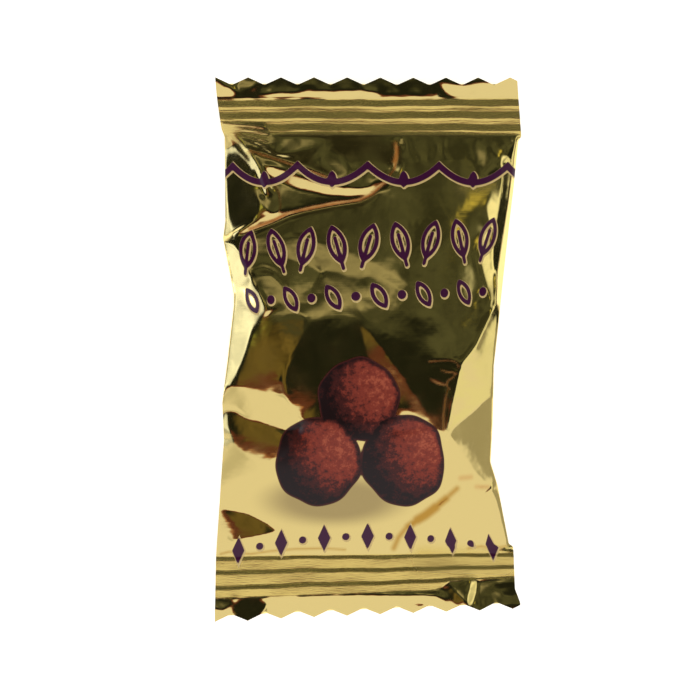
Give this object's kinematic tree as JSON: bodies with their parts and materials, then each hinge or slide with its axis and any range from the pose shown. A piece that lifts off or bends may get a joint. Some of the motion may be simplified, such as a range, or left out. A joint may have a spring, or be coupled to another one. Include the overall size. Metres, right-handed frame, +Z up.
{
  "type": "flow-wrapped chocolate truffle pack",
  "caption": "Single chocolate truffle sealed in a crumpled gold film flow wrap with crimped, zigzag-cut ends.",
  "frame": {"origin": "middle of the pack's outline, on the surface that it lies on", "axes": "+Z up, out of the printed side; +Y towards the end at the top of the print; +X to the right when the print is read"},
  "size_m": [0.0409, 0.0725, 0.014],
  "materials": {
    "gold_film": "bright metallised film"
  },
  "bodies": {
    "root": {"truffle_wrap": "gold_film"}
  },
  "joints": []
}
